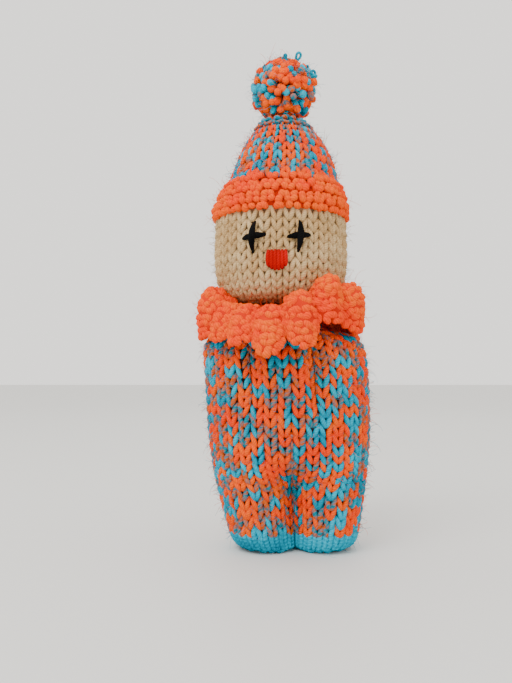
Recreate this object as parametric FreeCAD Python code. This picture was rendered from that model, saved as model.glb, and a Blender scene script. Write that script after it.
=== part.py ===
import FreeCAD, Part
import math
import os

# A hand-knitted clown doll, stuffed and standing on its two flat feet.
# It is knitted in one tube from the feet up: a turquoise foot band, a mottled body with legs, a plain head,
# a garter-stitch hat brim and a mottled hat crown. Threads sewn through the tube make the legs and the arms.
# A frilled collar is gathered round the neck, and a pompom is tied to the hat.
#
# Frame: millimetres, origin on the ground under the doll, +Z up, the face looks along -Y, the doll's own
# left side is at +X.

# ---- driving dimensions -------------------------------------------------------------------------------

WALL = 2.4              # thickness of the knitted fabric
STUFFING_GAP = 0.3      # between the fabric and the stuffing inside it
YARN_R = 0.9            # radius of the knitting yarn that closes the back
SEAM_ZIGZAG = 0.5       # how far that yarn strays to either side
THREAD_R = 0.6          # radius of the thinner sewing and gathering threads
CREASE_GAP = 1.5        # and a thread in a crease, clear of the crease's walls
SURFACE_GAP = 0.35      # between a thread and the fabric it lies on

# Height, half width, half depth and sideways lean of the body's outside, from the soles to the neck.
BODY = [
    (0.0, 18.8, 10.0, 3.2), (1.2, 21.6, 12.2, 3.1), (3.0, 23.3, 13.6, 3.0), (6.0, 24.6, 14.8, 2.8),
    (17.0, 27.1, 16.6, 2.1), (29.0, 29.3, 19.2, 1.5), (42.0, 30.9, 22.4, 1.1), (55.0, 31.3, 24.8, 0.7),
    (67.0, 31.4, 26.2, 0.0), (75.0, 31.0, 25.2, -0.8), (79.0, 28.8, 23.4, -1.2), (81.6, 23.0, 19.0, -1.5),
    (83.2, 13.0, 12.0, -1.9),
]
BODY_TOP_Z = 83.2
FOOT_BAND_TOP = 7.0     # where turquoise gives way to the mottled yarn
CROTCH_Z = 36.0         # middle of the fading top of the crease between the legs
CREASE_FADE = 13.0      # height over which the crease runs out, above and below that
LEG_SPREAD = 0.48       # a leg's axis, as a share of the body's half width
CREASE_ROUNDING = 1.8   # how softly the two legs meet
HOLLOW_BOTTOM = 2.6
HOLLOW_TOP = 80.6
ARM_LINES = {"right": (-14.2, 2.3, 2.6), "left": (9.8, 3.4, 2.7)}   # x, depth and half width of each crease
ARM_LINE_BOTTOM = 55.0
ARM_LINE_TOP = 80.0

AXIS_X = -2.0           # the head sits a little to the doll's right of its feet
NECK_Z = 88.0           # where the head turns, tilts and nods
NECK_BALL_R = 4.5       # the wad of stuffing in the neck
NECK_SOCKET_R = 4.8     # the gathered fabric of the head round it
DRAWSTRING_Z = 87.3
DRAWSTRING_R = 5.6

# Height, half width and half depth of the head's and the hat's outside.
HEAD = [
    (90.4, 4.6, 4.6), (91.0, 11.5, 11.0), (92.0, 17.2, 16.6), (94.0, 21.3, 20.6), (97.0, 23.5, 22.9),
    (101.0, 24.7, 24.1), (106.0, 25.4, 24.8), (112.0, 25.6, 25.0), (124.0, 25.2, 24.6),
]
HEAD_BOTTOM_RINGS = [90.4, 90.6, 90.8, 91.1, 91.5, 92.0, 92.8, 93.8, 95.2]     # close, for a tight curve
HEAD_CAVITY_BOTTOM = 93.2
BRIM = [
    (124.0, 25.8, 25.2), (126.5, 26.1, 25.5), (130.0, 25.4, 24.8), (134.0, 23.9, 23.4), (137.6, 22.1, 21.6),
]
CROWN = [
    (137.6, 21.8, 21.3), (142.0, 20.3, 19.8), (147.0, 18.7, 18.2), (151.0, 16.9, 16.5), (154.2, 15.1, 14.7),
    (157.6, 12.6, 12.3), (160.0, 10.2, 10.0), (161.6, 8.0, 7.9), (162.8, 5.2, 5.2), (163.6, 2.6, 2.6),
]
CROWN_CAVITY_TOP = 158.6
CROWN_GATHER_Z = 159.6  # where a thread draws the last row together
CROWN_GATHER_GAP = 1.1  # between that thread and the sloping fabric, measured level

POMPOM_PIVOT_Z = 165.3  # the knot that ties the pompom on
POMPOM_R = 12.2
POMPOM_CENTRE_X = -0.8  # it was trimmed a little lopsided
POMPOM_CENTRE_Z = 175.2
POMPOM_HEIGHT_SHARE = 0.96
POMPOM_UNDERSIDE_Z = 166.0
KNOT_R = 1.2
KNOT_SOCKET_R = 1.5

EYE_Z = 114.0           # centre of the cross-stitched eyes
EYE_X = 8.0             # half the distance between them
FACE_X = -2.0           # the face is sewn a little to one side of the head's middle
EYE_HALF_WIDTH = 3.8
EYE_HALF_HEIGHT = 5.0
EYE_STITCH_R = 0.85
CROSSBAR_LIFT = 1.3     # centre of each stitch in front of the fabric
UPRIGHT_LIFT = 3.1
MOUTH_Z = 105.6
MOUTH_STRANDS = 6
MOUTH_PITCH = 1.14
MOUTH_HALF_HEIGHT = 3.2
MOUTH_ROUNDING = 0.35   # share by which the outer strands stop short at the bottom
MOUTH_STRAND_R = 0.54

COLLAR_Z = 86.0         # height of the collar's gathered inner edge
COLLAR_INNER_R = 8.4
COLLAR_GATHER_Z = 85.6
COLLAR_GATHER_GAP = 0.7 # between the gathering thread and the frill's inner edge
COLLAR_WALL = 2.2
COLLAR_HALF_WIDTH = 30.6
COLLAR_HALF_DEPTH = 29.4
COLLAR_SIDE_RISE = 9.0  # the frill flips up at both sides
COLLAR_FRONT_DROP = 9.5 # and hangs down in front and behind
COLLAR_WAVE = 2.2       # height of its ruffles
COLLAR_FOLDS = 10
COLLAR_SECTIONS = 81
COLLAR_OPENING = 2.5    # degrees left at the back, where the strip's two ends are sewn together

# Bottom, top and number of stitches of the yarn seam up the back of each section.
BACK_SEAMS = {"body": (49.0, 74.0, 8), "head": (96.0, 122.5, 8), "hat": (139.5, 154.5, 5)}

RING_POINTS = 48        # points that a fabric ring's outline passes through
HEAD_POINTS = 32
BACK = math.pi / 2
FRONT = -math.pi / 2


# ---- shape helpers ------------------------------------------------------------------------------------

def vector(x, y, z):
    return FreeCAD.Vector(x, y, z)


def smoothstep(low, high, value):
    """0 below low, 1 above high, and smooth between them."""
    t = min(1.0, max(0.0, (value - low) / (high - low)))
    return t * t * (3 - 2 * t)


def profile(stations, z):
    """The row of a station list at height z, on a smooth curve through the stations."""
    heights = [s[0] for s in stations]
    z = min(heights[-1], max(heights[0], z))
    i = max(k for k in range(len(stations) - 1) if heights[k] <= z)
    width = heights[i + 1] - heights[i]
    t = (z - heights[i]) / width
    before = stations[max(i - 1, 0)]
    after = stations[min(i + 2, len(stations) - 1)]
    values = []
    for k in range(1, len(stations[0])):
        p0, p1 = stations[i][k], stations[i + 1][k]
        m0 = (p1 - before[k]) / (heights[i + 1] - before[0]) * width
        m1 = (after[k] - p0) / (after[0] - heights[i]) * width
        start = (2 * t**3 - 3 * t**2 + 1) * p0 + (t**3 - 2 * t**2 + t) * m0
        end = (3 * t**2 - 2 * t**3) * p1 + (t**3 - t**2) * m1
        values.append(start + end)
    return values


def spread_evenly(low, high, steps):
    return [low + (high - low) * i / steps for i in range(steps + 1)]


def smooth_outline(points):
    """A closed smooth wire through the points."""
    curve = Part.BSplineCurve()
    curve.interpolate(Points=points, PeriodicFlag=True)
    return Part.Wire([curve.toShape()])


def ring_wire(z, radius_at, centre_x, points=RING_POINTS):
    """A level outline; radius_at gives its radius at an angle."""
    outline = []
    for i in range(points):
        angle = 2 * math.pi * i / points
        r = radius_at(angle)
        outline.append(vector(centre_x + r * math.cos(angle), r * math.sin(angle), z))
    return smooth_outline(outline)


def loft(wires):
    return Part.makeLoft(wires, True, False)


def oval_radius(half_width, half_depth, angle):
    return 1.0 / math.hypot(math.cos(angle) / half_width, math.sin(angle) / half_depth)


def tube(points, radius):
    """A thread that runs straight from point to point, with rounded corners and ends."""
    parts = [Part.makeSphere(radius, points[0])]
    for a, b in zip(points, points[1:]):
        parts.append(Part.makeCylinder(radius, (b - a).Length, a, b - a))
        parts.append(Part.makeSphere(radius, b))
    return parts[0].multiFuse(parts[1:]).removeSplitter()


def stretched_ball(radius, height_share):
    matrix = FreeCAD.Matrix()
    matrix.scale(1.0, 1.0, height_share)
    return Part.makeSphere(radius).transformGeometry(matrix)


# ---- the body tube ------------------------------------------------------------------------------------

def crease(z):
    """How far the legs are drawn apart at height z: 0 on the trunk, 1 on the legs."""
    return 1 - smoothstep(CROTCH_Z - CREASE_FADE, CROTCH_Z + CREASE_FADE, z)


def body_radius(angle, z, inset=0.0):
    """Distance from the body's axis to its outside, less inset."""
    half_width, half_depth, _ = profile(BODY, z)
    leg_x = half_width * LEG_SPREAD * crease(z)
    leg_half_width = half_width - leg_x
    reach = []
    for side in (-1, 1):
        a = (math.cos(angle) / leg_half_width) ** 2 + (math.sin(angle) / half_depth) ** 2
        b = side * leg_x * math.cos(angle) / leg_half_width**2
        c = (leg_x / leg_half_width) ** 2 - 1
        reach.append((b + math.sqrt(b * b - a * c)) / a)
    rounding = CREASE_ROUNDING * crease(z)
    radius = (sum(reach) + math.hypot(reach[0] - reach[1], rounding)) / 2
    fade_in = smoothstep(ARM_LINE_BOTTOM - 6, ARM_LINE_BOTTOM + 4, z)
    fade_out = 1 - smoothstep(ARM_LINE_TOP - 4, ARM_LINE_TOP + 1, z)
    in_front = 1 if math.sin(angle) < 0 else 0
    for x, depth, spread in ARM_LINES.values():
        offset = (radius * math.cos(angle) - x) / spread
        radius -= in_front * depth * fade_in * fade_out * math.exp(-offset * offset)
    return radius - inset


def body_lean(z):
    return profile(BODY, z)[2]


def body_loft(heights, inset=0.0):
    wires = []
    for z in heights:
        wires.append(ring_wire(z, lambda angle: body_radius(angle, z, inset), body_lean(z)))
    return loft(wires)


def hollow_heights(shortened):
    """Heights of the rings of the body's hollow, which ends short of both its ends by shortened."""
    return spread_evenly(HOLLOW_BOTTOM + shortened, HOLLOW_TOP - shortened, 30)


def back_seam(section, radius_at, lean_at):
    """The yarn that closes the tube up the middle of the back, lying in a slight zigzag on the fabric."""
    points = []
    for i, z in enumerate(spread_evenly(*BACK_SEAMS[section])):
        sideways = SEAM_ZIGZAG if i % 2 else -SEAM_ZIGZAG
        outward = radius_at(BACK, z) + YARN_R + SURFACE_GAP
        points.append(vector(lean_at(z) + sideways, outward, z))
    return tube(points, YARN_R)


# ---- the head and hat tube ----------------------------------------------------------------------------

def head_radius(stations, angle, z, inset=0.0):
    half_width, half_depth = profile(stations, z)
    return oval_radius(half_width - inset, half_depth - inset, angle)


def head_loft(stations, heights, inset=0.0):
    wires = []
    for z in heights:
        wires.append(ring_wire(z, lambda angle: head_radius(stations, angle, z, inset), AXIS_X, HEAD_POINTS))
    return loft(wires)


def upright_back_seam(section, stations):
    """The back seam of a part of the head and hat tube, which stands upright on its axis."""
    return back_seam(section, lambda angle, z: head_radius(stations, angle, z), lambda z: AXIS_X)


def face_point(x, z, lift):
    """A point over the front of the head, lift in front of the fabric."""
    half_width, half_depth = profile(HEAD, z)
    across = (x - AXIS_X) / half_width
    return vector(x, -half_depth * math.sqrt(1 - across**2) - lift, z)


# ---- the sub-parts ------------------------------------------------------------------------------------

def make_body(parts):
    hollow = body_loft(hollow_heights(0.0), WALL)
    feet = body_loft([0.0, 0.6, 1.6, 2.8, 4.2, 5.6, FOOT_BAND_TOP])
    parts["foot_band_knit"] = feet.cut(hollow)
    shoulders = [76.0, 78.0, 79.6, 81.0, 82.2, BODY_TOP_Z]
    body = body_loft(spread_evenly(FOOT_BAND_TOP, 74.0, 22) + shoulders)
    parts["body_knit"] = body.cut(hollow)
    parts["body_stuffing"] = body_loft(hollow_heights(STUFFING_GAP), WALL + STUFFING_GAP)


def make_body_threads(parts):
    parts["body_back_seam"] = back_seam("body", body_radius, body_lean)
    for name, angle in (("front", FRONT), ("back", BACK)):
        points = []
        for z in spread_evenly(3.0, CROTCH_Z, 12):
            outward = body_radius(angle, z) + THREAD_R + CREASE_GAP
            points.append(vector(body_lean(z), outward * math.sin(angle), z))
        parts[f"leg_seam_{name}_thread"] = tube(points, THREAD_R)
    for name, (x, depth, spread) in ARM_LINES.items():
        points = []
        for z in spread_evenly(ARM_LINE_BOTTOM + 1, ARM_LINE_TOP - 4, 6):
            angle = math.atan2(-profile(BODY, z)[1], x)
            r = body_radius(angle, z) + THREAD_R + CREASE_GAP
            points.append(vector(body_lean(z) + r * math.cos(angle), r * math.sin(angle), z))
        parts[f"{name}_arm_thread"] = tube(points, THREAD_R)


def make_neck(parts):
    parts["neck_stuffing"] = Part.makeSphere(NECK_BALL_R, vector(AXIS_X, 0, NECK_Z))
    parts["neck_drawstring"] = Part.makeTorus(DRAWSTRING_R, THREAD_R, vector(AXIS_X, 0, DRAWSTRING_Z))


def make_head(parts):
    pivot = vector(AXIS_X, 0, NECK_Z)
    top = HEAD[-1][0]
    outside = head_loft(HEAD, HEAD_BOTTOM_RINGS + spread_evenly(97.0, top, 10))
    cavity = head_loft(HEAD, spread_evenly(HEAD_CAVITY_BOTTOM, top, 12), WALL)
    parts["head_knit"] = outside.cut(cavity).cut(Part.makeSphere(NECK_SOCKET_R, pivot))
    inside = spread_evenly(HEAD_CAVITY_BOTTOM + STUFFING_GAP, top - 0.1, 12)
    stuffing = head_loft(HEAD, inside, WALL + STUFFING_GAP)
    parts["head_stuffing"] = stuffing.cut(Part.makeSphere(NECK_SOCKET_R + STUFFING_GAP, pivot))
    parts["head_back_seam"] = upright_back_seam("head", HEAD)


def make_face(parts):
    for name, side in (("right", -1), ("left", 1)):
        x = FACE_X + AXIS_X + side * EYE_X
        start = face_point(x - EYE_HALF_WIDTH, EYE_Z, CROSSBAR_LIFT)
        end = face_point(x + EYE_HALF_WIDTH, EYE_Z, CROSSBAR_LIFT)
        bottom = face_point(x, EYE_Z - EYE_HALF_HEIGHT, UPRIGHT_LIFT)
        top = face_point(x, EYE_Z + EYE_HALF_HEIGHT, UPRIGHT_LIFT)
        parts[f"{name}_eye_crossbar"] = tube([start, end], EYE_STITCH_R)
        parts[f"{name}_eye_upright"] = tube([bottom, top], EYE_STITCH_R)
    path = []
    lift = MOUTH_STRAND_R + SURFACE_GAP
    for i in range(MOUTH_STRANDS):
        from_middle = i - (MOUTH_STRANDS - 1) / 2
        x = FACE_X + AXIS_X + from_middle * MOUTH_PITCH
        shortfall = MOUTH_ROUNDING * (from_middle / (MOUTH_STRANDS / 2)) ** 2
        low = face_point(x, MOUTH_Z - MOUTH_HALF_HEIGHT * (1 - shortfall), lift)
        high = face_point(x, MOUTH_Z + MOUTH_HALF_HEIGHT, lift)
        path += [low, high] if i % 2 == 0 else [high, low]
    parts["mouth_stitches"] = tube(path, MOUTH_STRAND_R)


def make_hat(parts):
    brim_bottom, brim_top = BRIM[0][0], BRIM[-1][0]
    crown_bottom, crown_top = CROWN[0][0], CROWN[-1][0]
    brim_rings = spread_evenly(brim_bottom, brim_top, 7)
    parts["hat_brim_knit"] = head_loft(BRIM, brim_rings).cut(head_loft(BRIM, brim_rings, WALL))
    crown_rings = spread_evenly(crown_bottom, CROWN_GATHER_Z, 12) + spread_evenly(160.6, crown_top, 5)
    crown = head_loft(CROWN, crown_rings)
    crown_cavity = head_loft(CROWN, spread_evenly(crown_bottom, CROWN_CAVITY_TOP, 8), WALL)
    knot_socket = Part.makeSphere(KNOT_SOCKET_R, vector(AXIS_X, 0, POMPOM_PIVOT_Z))
    parts["hat_crown_knit"] = crown.cut(crown_cavity).cut(knot_socket)
    slack = WALL + STUFFING_GAP
    parts["brim_stuffing"] = head_loft(BRIM, spread_evenly(brim_bottom + 0.1, brim_top - 0.1, 5), slack)
    crown_inside = spread_evenly(crown_bottom + 0.1, CROWN_CAVITY_TOP - STUFFING_GAP, 8)
    parts["crown_stuffing"] = head_loft(CROWN, crown_inside, slack)
    parts["hat_back_seam"] = upright_back_seam("hat", CROWN)
    gather_r = profile(CROWN, CROWN_GATHER_Z)[0] + THREAD_R + CROWN_GATHER_GAP
    parts["crown_gathering_thread"] = Part.makeTorus(gather_r, THREAD_R, vector(AXIS_X, 0, CROWN_GATHER_Z))


def make_pompom(parts):
    pivot = vector(AXIS_X, 0, POMPOM_PIVOT_Z)
    parts["pompom_knot"] = Part.makeSphere(KNOT_R, pivot)
    ball = stretched_ball(POMPOM_R, POMPOM_HEIGHT_SHARE)
    ball.translate(vector(POMPOM_CENTRE_X, 0, POMPOM_CENTRE_Z))
    size = 2 * POMPOM_R
    below = Part.makeCylinder(size, size, vector(POMPOM_CENTRE_X, 0, POMPOM_UNDERSIDE_Z - size))
    parts["pompom_strands"] = ball.cut(below).cut(Part.makeSphere(KNOT_SOCKET_R, pivot))


def collar_line(angle):
    """The collar's centreline at one angle, as radii and heights from the gathered edge to the free edge."""
    sideways = abs(math.cos(angle))
    rise = COLLAR_SIDE_RISE * smoothstep(0.45, 0.95, sideways)
    drop = COLLAR_FRONT_DROP * (1 - smoothstep(0.2, 0.85, sideways))
    wave = COLLAR_WAVE * math.sin(COLLAR_FOLDS * angle)
    outer = oval_radius(COLLAR_HALF_WIDTH, COLLAR_HALF_DEPTH, angle)
    return [
        (COLLAR_INNER_R, COLLAR_Z),
        (0.55 * outer, COLLAR_Z),
        (0.80 * outer, COLLAR_Z - 0.3 + 0.15 * wave),
        (0.95 * outer, COLLAR_Z - 0.5 + 0.2 * rise - 0.4 * drop + 0.6 * wave),
        (outer + 0.1 * drop, COLLAR_Z + 0.8 * rise - drop + wave),
    ]


def collar_section(angle, side):
    """Points across the frill's upper face (side 1) or lower face (side -1) at one angle."""
    middle = collar_line(angle)
    x, y = math.cos(angle), math.sin(angle)
    points = []
    for i, (r, z) in enumerate(middle):
        r0, z0 = middle[max(i - 1, 0)]
        r1, z1 = middle[min(i + 1, len(middle) - 1)]
        share = side * COLLAR_WALL / 2 / math.hypot(r1 - r0, z1 - z0)
        face_r, face_z = r - (z1 - z0) * share, z + (r1 - r0) * share
        points.append(vector(AXIS_X + face_r * x, face_r * y, face_z))
    return points


def make_collar(parts):
    opening = math.radians(COLLAR_OPENING)
    angles = spread_evenly(BACK + opening, BACK + 2 * math.pi - opening, COLLAR_SECTIONS - 1)
    faces = []
    rims = []
    for side in (1, -1):
        skin = Part.BSplineSurface()
        skin.interpolate([collar_section(angle, side) for angle in angles])
        u0, u1, v0, v1 = skin.bounds()
        rims.append([skin.uIso(u0), skin.uIso(u1), skin.vIso(v0), skin.vIso(v1)])
        faces.append(skin.toShape())
    for upper, lower in zip(*rims):
        faces.append(Part.makeRuledSurface(upper.toShape(), lower.toShape()))
    shell = Part.makeShell(faces)
    shell.sewShape(0.01)
    frill = Part.Solid(shell)
    if frill.Volume < 0:
        frill.reverse()
    parts["collar_frill"] = frill
    gather_r = COLLAR_INNER_R - THREAD_R - COLLAR_GATHER_GAP
    parts["collar_gathering_thread"] = Part.makeTorus(gather_r, THREAD_R, vector(AXIS_X, 0, COLLAR_GATHER_Z))


def main():
    parts = {}
    makers = (
        make_body, make_body_threads, make_neck, make_head, make_face, make_hat, make_pompom, make_collar,
    )
    for make in makers:
        make(parts)
    os.makedirs("parts", exist_ok=True)
    for name, shape in parts.items():
        solids = shape.Solids
        volume = sum(s.Volume for s in solids)
        print(f"{name}: {len(solids)} solid(s), valid {shape.isValid()}, {volume:.0f} mm3")
        shape.exportStep(f"parts/{name}.step")


main()
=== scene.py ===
import math
import random

import bpy
import numpy as np
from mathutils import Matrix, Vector
from mathutils.bvhtree import BVHTree


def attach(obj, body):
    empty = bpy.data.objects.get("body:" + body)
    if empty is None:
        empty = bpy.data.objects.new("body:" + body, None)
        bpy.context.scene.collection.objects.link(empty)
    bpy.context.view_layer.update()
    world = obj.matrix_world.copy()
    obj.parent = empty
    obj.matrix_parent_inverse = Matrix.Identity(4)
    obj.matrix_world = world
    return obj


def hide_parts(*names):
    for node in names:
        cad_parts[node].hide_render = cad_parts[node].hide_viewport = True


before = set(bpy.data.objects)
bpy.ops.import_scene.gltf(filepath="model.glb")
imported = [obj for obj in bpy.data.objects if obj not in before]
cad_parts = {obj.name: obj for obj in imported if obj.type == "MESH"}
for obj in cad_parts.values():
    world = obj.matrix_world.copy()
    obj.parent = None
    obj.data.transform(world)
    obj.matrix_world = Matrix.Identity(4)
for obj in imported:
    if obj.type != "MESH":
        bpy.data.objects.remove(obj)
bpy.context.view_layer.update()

MM = 0.001
SEED = 11

# ---- the doll's knitting, in millimetres ---------------------------------------------------------
STITCHES_ROUND = 34         # stitches in one row of the tube
RING_SAMPLES = 408          # points kept along each ring of the tube
LEVEL_STEP = 0.4            # height between the rings that are measured
YARN_R = 1.00               # radius of the yarn at rest
BODY_ROWS = 24
FOOT_ROWS = 4
HEAD_ROWS = 11
CROWN_ROWS = 8
BRIM_RIDGES = 3
LINING_DEPTH = 1.7          # the lining's depth under the yarn's outer surface

AXIS_X = -2.0               # the head's upright axis
FEET_X = 3.0                # the middle of the feet
HAT_LEAN = ((128.0, 145.0, 156.0, 163.0), (0.0, 1.6, 1.5, 0.9))     # heights, and sideways lean at each
ARM_LINES = {"right": -14.2, "left": 9.8}
FOOT_BAND_TOP = 7.0
SKIN_BOTTOM = 0.05
FOOT_STITCHES_BOTTOM = 1.5  # the lowest row starts here, so that its yarn stays above the ground
BODY_TOP = 83.0
HEAD_BOTTOM = 90.7
BRIM_BOTTOM = 124.0
BRIM_TOP = 137.6
CROWN_TOP = 163.2

ORANGE, TURQUOISE, MARL = 0, 1, 2

# Shares of orange, turquoise and marl, row by row in turn, and how many legs of stitches a run of each fills.
BODY_SHARES = [(4, 5, 4), (4, 5, 5), (5, 4, 4), (4, 4, 5)]
BODY_RUNS = {ORANGE: (1, 4), TURQUOISE: (1, 3), MARL: (1, 3)}
CROWN_SHARES = [(5, 4, 3), (6, 3, 2)]
CROWN_RUNS = {ORANGE: (1, 3), TURQUOISE: (1, 2), MARL: (1, 2)}
BRIM_PROUD = 0.6            # how far the brim's bumps stand out past the CAD brim


# ---- mesh building -------------------------------------------------------------------------------

def mesh_object(name, verts, faces, materials, body, uvs=None, face_materials=None):
    """A smooth-shaded mesh piece from vertices in millimetres that rides on a CAD body."""
    mesh = bpy.data.meshes.new(name)
    sizes = np.array([len(f) for f in faces], np.int32)
    corners = np.concatenate([np.asarray(f, np.int32) for f in faces])
    mesh.vertices.add(len(verts))
    mesh.vertices.foreach_set("co", (np.asarray(verts, np.float32) * MM).ravel())
    mesh.loops.add(len(corners))
    mesh.loops.foreach_set("vertex_index", corners)
    mesh.polygons.add(len(sizes))
    starts = np.concatenate([[0], np.cumsum(sizes)[:-1]]).astype(np.int32)
    mesh.polygons.foreach_set("loop_start", starts)
    mesh.polygons.foreach_set("loop_total", sizes)
    mesh.polygons.foreach_set("use_smooth", np.ones(len(sizes), bool))
    for material in materials:
        mesh.materials.append(material)
    if face_materials is not None:
        mesh.polygons.foreach_set("material_index", np.asarray(face_materials, np.int32))
    if uvs is not None:
        layer = mesh.uv_layers.new(name="yarn")
        layer.data.foreach_set("uv", np.asarray(uvs, np.float32).ravel())
    mesh.update()
    mesh.validate()
    piece = bpy.data.objects.new(name, mesh)
    bpy.context.scene.collection.objects.link(piece)
    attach(piece, body)
    return piece


def unit(vectors):
    return vectors / np.maximum(np.linalg.norm(vectors, axis=-1, keepdims=True), 1e-9)


class Tubes:
    """Collects tubes of one ring layout and turns them into one mesh."""

    def __init__(self, sides):
        self.sides = sides
        self.verts, self.faces, self.uvs, self.colours = [], [], [], []
        self.count = 0

    def add(self, paths, radii, ups, colours, flatten=1.0):
        """paths is (n, k, 3); radii is (k,) or (n, k); ups are outward directions; colours is (n,)."""
        paths = np.asarray(paths, float)
        n, k, _ = paths.shape
        radii = np.broadcast_to(np.asarray(radii, float), (n, k))
        tangents = unit(np.gradient(paths, axis=1))
        ups = np.broadcast_to(np.asarray(ups, float), paths.shape)
        across = unit(np.cross(tangents, ups))
        ups = unit(np.cross(across, tangents))
        angles = np.arange(self.sides) * 2 * math.pi / self.sides
        ring = (
            paths[:, :, None, :]
            + radii[:, :, None, None] * np.cos(angles)[None, None, :, None] * across[:, :, None, :]
            + flatten * radii[:, :, None, None] * np.sin(angles)[None, None, :, None] * ups[:, :, None, :]
        )
        s = self.sides
        base = self.count + (np.arange(n) * k * s)[:, None, None]
        level = (np.arange(k - 1) * s)[None, :, None]
        side = np.arange(s)[None, None, :]
        following = (side + 1) % s
        quads = np.stack([base + level + side, base + level + following,
                          base + level + s + following, base + level + s + side], -1).reshape(-1, 4)
        lengths = np.concatenate(
            [np.zeros((n, 1)), np.cumsum(np.linalg.norm(np.diff(paths, axis=1), axis=2), axis=1)], axis=1
        )
        u0 = np.broadcast_to(side / s, (n, k - 1, s))
        u1 = u0 + 1.0 / s
        v0 = np.broadcast_to(lengths[:, :-1, None], (n, k - 1, s))
        v1 = np.broadcast_to(lengths[:, 1:, None], (n, k - 1, s))
        quad_uvs = np.stack([u0, v0, u1, v0, u1, v1, u0, v1], -1).reshape(-1, 4, 2)
        caps, cap_uvs = [], []
        for i in range(n):
            first = self.count + i * k * s
            last = first + (k - 1) * s
            caps.append(np.arange(first, first + s)[::-1])
            caps.append(np.arange(last, last + s))
            cap_uvs.append(np.zeros((2 * s, 2)))
        self.verts.append(ring.reshape(-1, 3))
        self.faces += list(quads)
        self.uvs.append(quad_uvs.reshape(-1, 2))
        self.faces += caps
        self.uvs += cap_uvs
        colours = np.broadcast_to(np.asarray(colours, int), (n,))
        self.colours.append(np.repeat(colours, (k - 1) * s))
        self.colours.append(np.repeat(colours, 2))
        self.count += n * k * s

    def piece(self, name, materials, body, slot):
        return mesh_object(
            name, np.concatenate(self.verts), self.faces, materials, body,
            np.concatenate(self.uvs), np.concatenate(self.colours),
        )


# ---- the surface that the knitting lies on -------------------------------------------------------

POINT_BLUR = (2.5, 1.5)     # spread of the fabric's own softness, in ring samples and in levels
NORMAL_BLUR = (8.0, 4.0)


def blurred(rings, around, up):
    """The rings softened round each ring and from ring to ring."""
    reach = int(3 * around)
    weights = np.exp(-0.5 * (np.arange(-reach, reach + 1) / around) ** 2)
    weights /= weights.sum()
    soft = sum(w * np.roll(rings, shift, 1) for w, shift in zip(weights, range(-reach, reach + 1)))
    reach = int(3 * up)
    weights = np.exp(-0.5 * (np.arange(-reach, reach + 1) / up) ** 2)
    weights /= weights.sum()
    last = len(rings) - 1
    levels = np.arange(last + 1)
    result = np.zeros_like(soft)
    for w, shift in zip(weights, range(-reach, reach + 1)):
        result += w * soft[np.clip(levels + shift, 0, last)]
    result[..., 2] = rings[..., 2]
    return result


def closed(rings):
    return np.concatenate([rings, rings[:, :1]], 1)


class Skin:
    """The outside of one CAD tube as rings of points by height, in equal steps of arc round each ring."""

    def __init__(self, nodes, low, high, centre_x):
        verts, polygons = [], []
        for node in nodes:
            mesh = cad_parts[node].data
            first = len(verts)
            verts += [v.co.copy() for v in mesh.vertices]
            polygons += [[first + i for i in p.vertices] for p in mesh.polygons]
        tree = BVHTree.FromPolygons(verts, polygons)
        self.heights = np.arange(low, high + 1e-6, LEVEL_STEP)
        angles = np.linspace(0, 2 * math.pi, 361) + math.pi / 2
        rings = []
        for z in self.heights:
            reach = [self.reach(tree, centre_x, z, a) for a in (0.0, math.pi)]
            middle = centre_x + (reach[0] - reach[1]) / 2
            radii = np.array([self.reach(tree, middle, z, a) for a in angles[:-1]])
            radii = np.append(radii, radii[0])
            points = np.stack([middle + radii * np.cos(angles), radii * np.sin(angles), np.full(361, z)], 1)
            arc = np.concatenate([[0], np.cumsum(np.linalg.norm(np.diff(points, axis=0), axis=1))])
            wanted = np.linspace(0, arc[-1], RING_SAMPLES + 1)
            rings.append(np.stack([np.interp(wanted, arc, points[:, i]) for i in range(3)], 1))
            centre_x = middle
        rings = np.array(rings)[:, :-1]
        self.grid = closed(blurred(rings, *POINT_BLUR))
        wide = blurred(rings, *NORMAL_BLUR)
        around = np.roll(wide, -1, 1) - np.roll(wide, 1, 1)
        self.normals = closed(unit(np.cross(around, np.gradient(wide, axis=0))))
        middle_line = self.grid[:, RING_SAMPLES // 2]
        steps = np.linalg.norm(np.diff(middle_line, axis=0), axis=1)
        self.climb = np.concatenate([[0], np.cumsum(steps)])

    @staticmethod
    def reach(tree, x, z, angle):
        """Distance from the axis to the outermost wall."""
        far = 100.0
        direction = Vector((math.cos(angle), math.sin(angle), 0))
        start = Vector((x, 0, z)) * MM + direction * far * MM
        hit = tree.ray_cast(start, -direction)[0]
        return far if hit is None else (hit - Vector((x, 0, z)) * MM).length / MM

    def rows_between(self, low, high, rows):
        """Heights of row boundaries that are equally far apart along the fabric."""
        a, b = np.interp([low, high], self.heights, self.climb)
        return np.interp(np.linspace(a, b, rows + 1), self.climb, self.heights)

    def at(self, turn, z, depth=0.0):
        """Points and outward normals at turns round the ring (0 to 1 from the back) and heights z."""
        turn, z = np.broadcast_arrays(np.asarray(turn, float) % 1.0, np.asarray(z, float))
        column = turn * RING_SAMPLES
        c0 = np.floor(column).astype(int) % RING_SAMPLES
        fc = (column - np.floor(column))[..., None]
        level = np.clip((z - self.heights[0]) / LEVEL_STEP, 0, len(self.heights) - 1.001)
        l0 = level.astype(int)
        fl = (level - l0)[..., None]
        found = []
        for grid in (self.grid, self.normals):
            low = grid[l0, c0] * (1 - fc) + grid[l0, c0 + 1] * fc
            high = grid[l0 + 1, c0] * (1 - fc) + grid[l0 + 1, c0 + 1] * fc
            found.append(low * (1 - fl) + high * fl)
        points, normals = found[0], unit(found[1])
        return points - normals * np.asarray(depth)[..., None], normals


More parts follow.
